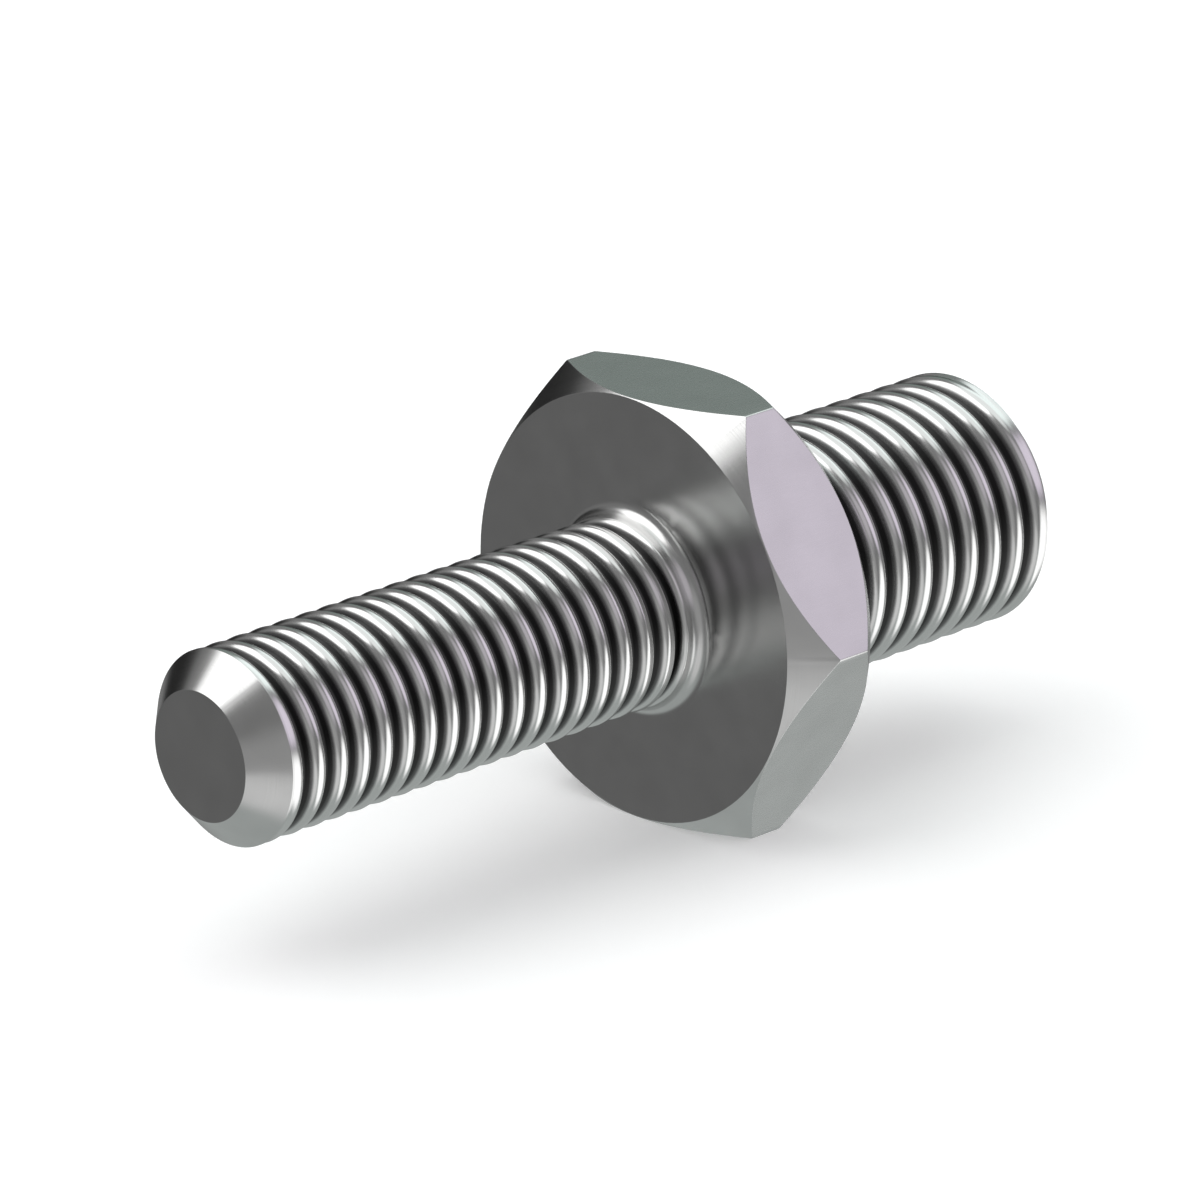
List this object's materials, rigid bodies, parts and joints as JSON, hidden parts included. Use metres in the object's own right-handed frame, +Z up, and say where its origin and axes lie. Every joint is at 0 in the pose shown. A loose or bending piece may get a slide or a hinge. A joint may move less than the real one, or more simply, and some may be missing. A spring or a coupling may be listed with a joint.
{
  "type": "adjusting screw",
  "caption": "Steel adjusting screw: a slim threaded stud with a coned nose, a chamfered hexagonal collar for a spanner, and a thicker threaded stud behind it.",
  "frame": {"origin": "on the floor under the middle of the screw, which lies on one flat of its hexagonal collar", "axes": "+X along the screw from the coned nose to the thicker stud's end, +Z up from the flat it lies on"},
  "size_m": [0.0636, 0.0312, 0.027],
  "materials": {
    "bare_steel": "bright turned bare steel"
  },
  "bodies": {
    "root": {"adjusting_screw": "bare_steel"}
  },
  "joints": []
}
